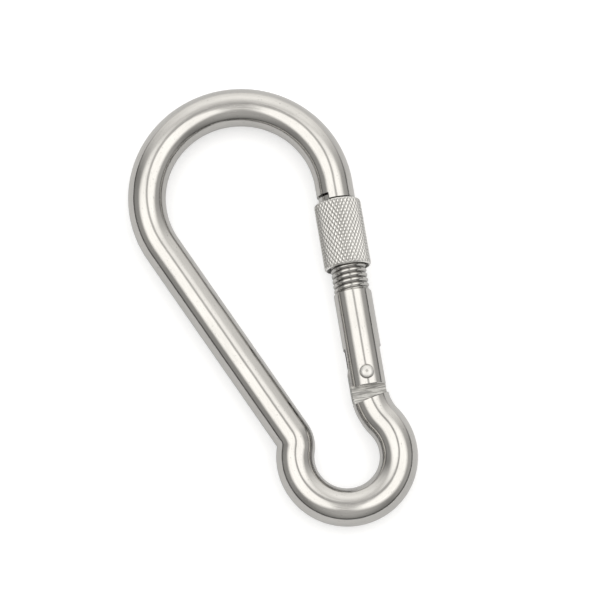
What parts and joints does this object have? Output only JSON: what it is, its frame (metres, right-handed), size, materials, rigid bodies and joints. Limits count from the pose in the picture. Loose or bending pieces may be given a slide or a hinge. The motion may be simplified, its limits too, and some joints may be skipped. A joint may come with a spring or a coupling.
{
  "type": "carabiner",
  "caption": "Pear-shaped snap hook bent from round steel bar, with a sprung gate on a riveted hinge and a knurled screw-lock nut on the gate's thread.",
  "frame": {"origin": "centre of the bounding box's bottom face, on the surface that the hook lies on", "axes": "+Z square to the plane of the hook, up from the surface it lies on; +Y along the hook from the small eye to the big bow; the gate is on the +X side"},
  "size_m": [0.0596, 0.1234, 0.0124],
  "materials": {
    "body_steel": "tumbled stainless bar, satin, with fine scratches along the bar and small pits",
    "gate_steel": "turned stainless rod, satin, brighter on the thread's crests",
    "rivet_steel": "peened stainless rivet, worn bright",
    "plunger_steel": "plain turned stainless pin",
    "spring_steel": "drawn stainless spring wire",
    "nut_steel": "diamond-knurled stainless, tumbled"
  },
  "bodies": {
    "body": {"hook_body": "body_steel"},
    "gate": {"gate": "gate_steel", "hinge_rivet": "rivet_steel", "closing_spring": "spring_steel"},
    "plunger": {"closing_plunger": "plunger_steel"},
    "lock_nut": {"lock_nut": "nut_steel"}
  },
  "joints": [
    {"name": "gate_hinge", "type": "hinge", "parent": "body", "child": "gate", "pos_m": [0.01284, -0.02499, 0.0062], "axis": [0, 0, 1], "range_deg": [0, 30], "stiffness_Nm_per_rad": 0.4, "springref_deg": -17.19},
    {"name": "plunger_slide", "type": "slide", "parent": "gate", "child": "plunger", "axis": [0.2154, 0.9765, 0], "range_m": [0, 0.0016], "deforming": ["closing_spring"]},
    {"name": "lock_nut_travel", "type": "slide", "parent": "gate", "child": "lock_nut", "axis": [0.2154, 0.9765, 0], "range_m": [-0.0064, 0.003]}
  ],
  "couplings": [
    {"joint": "plunger_slide", "follows": "gate_hinge", "m_per_rad": 0.003}
  ]
}
